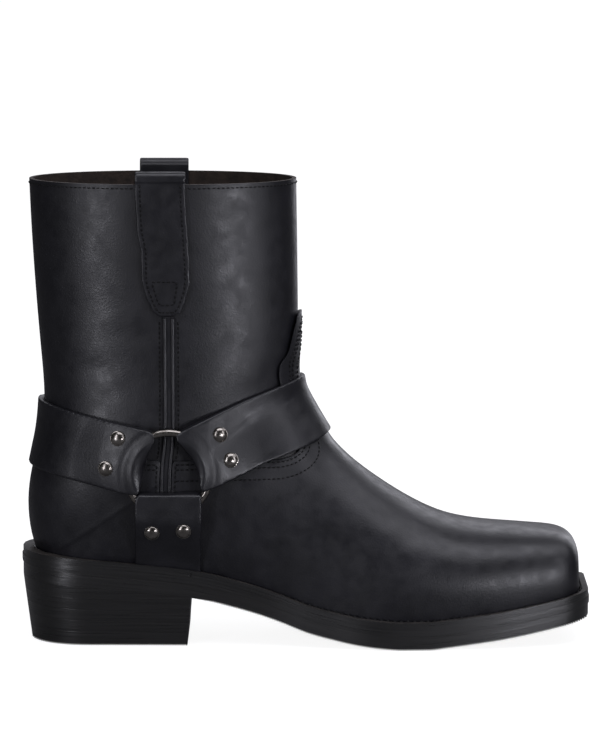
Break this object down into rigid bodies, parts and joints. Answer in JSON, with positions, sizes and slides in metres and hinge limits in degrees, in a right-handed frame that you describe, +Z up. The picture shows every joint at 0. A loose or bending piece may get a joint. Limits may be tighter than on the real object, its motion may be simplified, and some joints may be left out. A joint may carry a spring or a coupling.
{
  "type": "harness boot",
  "caption": "Black leather harness boot with a square toe, stacked heel, and ring-and-strap harness round the ankle, standing empty on its sole.",
  "frame": {"origin": "centre of the bounding box, at floor level", "axes": "+X from heel to toe, +Z up, -Y towards the outer side of a right foot"},
  "size_m": [0.308, 0.1046, 0.258],
  "materials": {
    "leather": "smooth waxed, satin",
    "metal": "antique nickel, polished",
    "sole": "dressed black edge",
    "lining": "unfinished flesh side"
  },
  "bodies": {
    "root": {"upper": "leather", "vamp": "leather", "heel_counter": "leather", "side_seam_lateral": "leather", "side_seam_medial": "leather", "pull_strap_lateral": "leather", "pull_strap_medial": "leather", "back_strap": "leather", "front_strap": "leather", "sole_strap_lateral": "leather", "sole_strap_medial": "leather", "ring_lateral": "metal", "ring_medial": "metal", "rivet_back_1": "metal", "rivet_back_2": "metal", "rivet_back_3": "metal", "rivet_back_4": "metal", "rivet_front_1": "metal", "rivet_front_2": "metal", "rivet_front_3": "metal", "rivet_front_4": "metal", "rivet_sole_1": "metal", "rivet_sole_2": "metal", "rivet_sole_3": "metal", "rivet_sole_4": "metal", "insole": "lining", "outsole": "sole", "midsole": "sole", "welt": "sole", "heel_rand": "sole", "heel_top_piece": "sole", "heel_lift_1": "sole", "heel_lift_2": "sole", "heel_lift_3": "sole", "heel_lift_4": "sole"}
  },
  "joints": []
}
